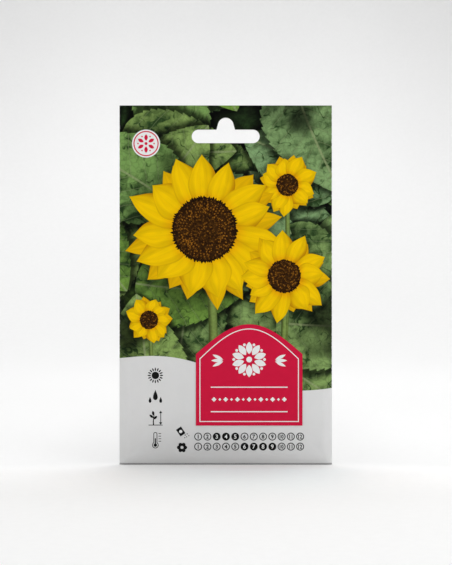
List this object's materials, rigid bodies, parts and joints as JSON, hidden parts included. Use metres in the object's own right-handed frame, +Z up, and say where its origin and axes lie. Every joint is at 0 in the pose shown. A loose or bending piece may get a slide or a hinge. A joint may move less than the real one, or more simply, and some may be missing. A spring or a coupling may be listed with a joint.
{
  "type": "seed packet",
  "caption": "Flat filled paper pouch for seeds, standing on its folded bottom edge, with a domed hanging slot punched through its pressed top and glued flaps behind.",
  "frame": {"origin": "middle of the packet's footprint, on the surface that it stands on", "axes": "+Z up the packet, -Y out of its printed front, +X to the right seen from the front"},
  "size_m": [0.1, 0.006, 0.169],
  "materials": {
    "printed_paper": "satin coated, printed",
    "white_paper": "satin",
    "seed_hull": "matt, striped"
  },
  "bodies": {
    "root": {"front_panel": "printed_paper", "back_panel": "white_paper", "side_flap": "white_paper", "bottom_flap": "white_paper", "top_flap": "white_paper", "seed_01": "seed_hull", "seed_02": "seed_hull", "seed_03": "seed_hull", "seed_04": "seed_hull", "seed_05": "seed_hull", "seed_06": "seed_hull", "seed_07": "seed_hull", "seed_08": "seed_hull", "seed_09": "seed_hull", "seed_10": "seed_hull", "seed_11": "seed_hull", "seed_12": "seed_hull", "seed_13": "seed_hull", "seed_14": "seed_hull", "seed_15": "seed_hull", "seed_16": "seed_hull", "seed_17": "seed_hull", "seed_18": "seed_hull", "seed_19": "seed_hull", "seed_20": "seed_hull", "seed_21": "seed_hull", "seed_22": "seed_hull", "seed_23": "seed_hull", "seed_24": "seed_hull", "seed_25": "seed_hull", "seed_26": "seed_hull", "seed_27": "seed_hull", "seed_28": "seed_hull", "seed_29": "seed_hull", "seed_30": "seed_hull", "seed_31": "seed_hull", "seed_32": "seed_hull"}
  },
  "joints": []
}
